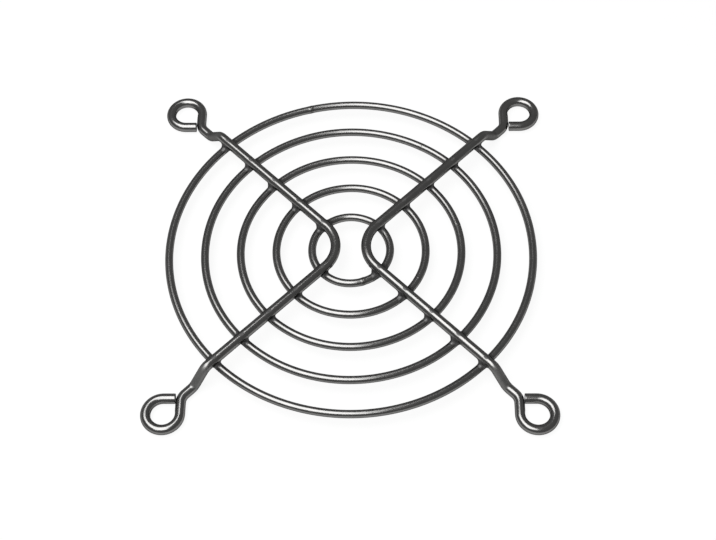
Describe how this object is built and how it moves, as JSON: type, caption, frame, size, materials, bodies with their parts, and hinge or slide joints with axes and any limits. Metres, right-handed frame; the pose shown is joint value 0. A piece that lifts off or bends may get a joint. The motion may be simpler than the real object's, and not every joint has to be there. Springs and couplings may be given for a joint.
{
  "type": "wire fan guard",
  "caption": "Round wire fan guard: concentric rings welded under bent support wires that step down to an open screw eye at each corner.",
  "frame": {"origin": "centre of the square of mounting eyes, in the plane that the eyes stand on", "axes": "+Z away from the fan, from the mounting face up to the support wires; X and Y along the sides of the square of mounting eyes, with the two support wires bent towards each other along X"},
  "size_m": [0.0802, 0.0802, 0.0055],
  "materials": {
    "support_wire": "bright nickel-chrome plating on drawn steel wire",
    "ring_wire": "bright nickel-chrome plating on drawn steel wire",
    "weld": "plated resistance-weld flash"
  },
  "bodies": {
    "root": {"left_support_wire": "support_wire", "right_support_wire": "support_wire", "ring_1": "ring_wire", "ring_2": "ring_wire", "ring_3": "ring_wire", "ring_4": "ring_wire", "ring_5": "ring_wire", "weld_1_front_left": "weld", "weld_1_rear_left": "weld", "weld_1_front_right": "weld", "weld_1_rear_right": "weld", "weld_2_front_left": "weld", "weld_2_rear_left": "weld", "weld_2_front_right": "weld", "weld_2_rear_right": "weld", "weld_3_front_left": "weld", "weld_3_rear_left": "weld", "weld_3_front_right": "weld", "weld_3_rear_right": "weld", "weld_4_front_left": "weld", "weld_4_rear_left": "weld", "weld_4_front_right": "weld", "weld_4_rear_right": "weld", "weld_5_front_left": "weld", "weld_5_rear_left": "weld", "weld_5_front_right": "weld", "weld_5_rear_right": "weld"}
  },
  "joints": []
}
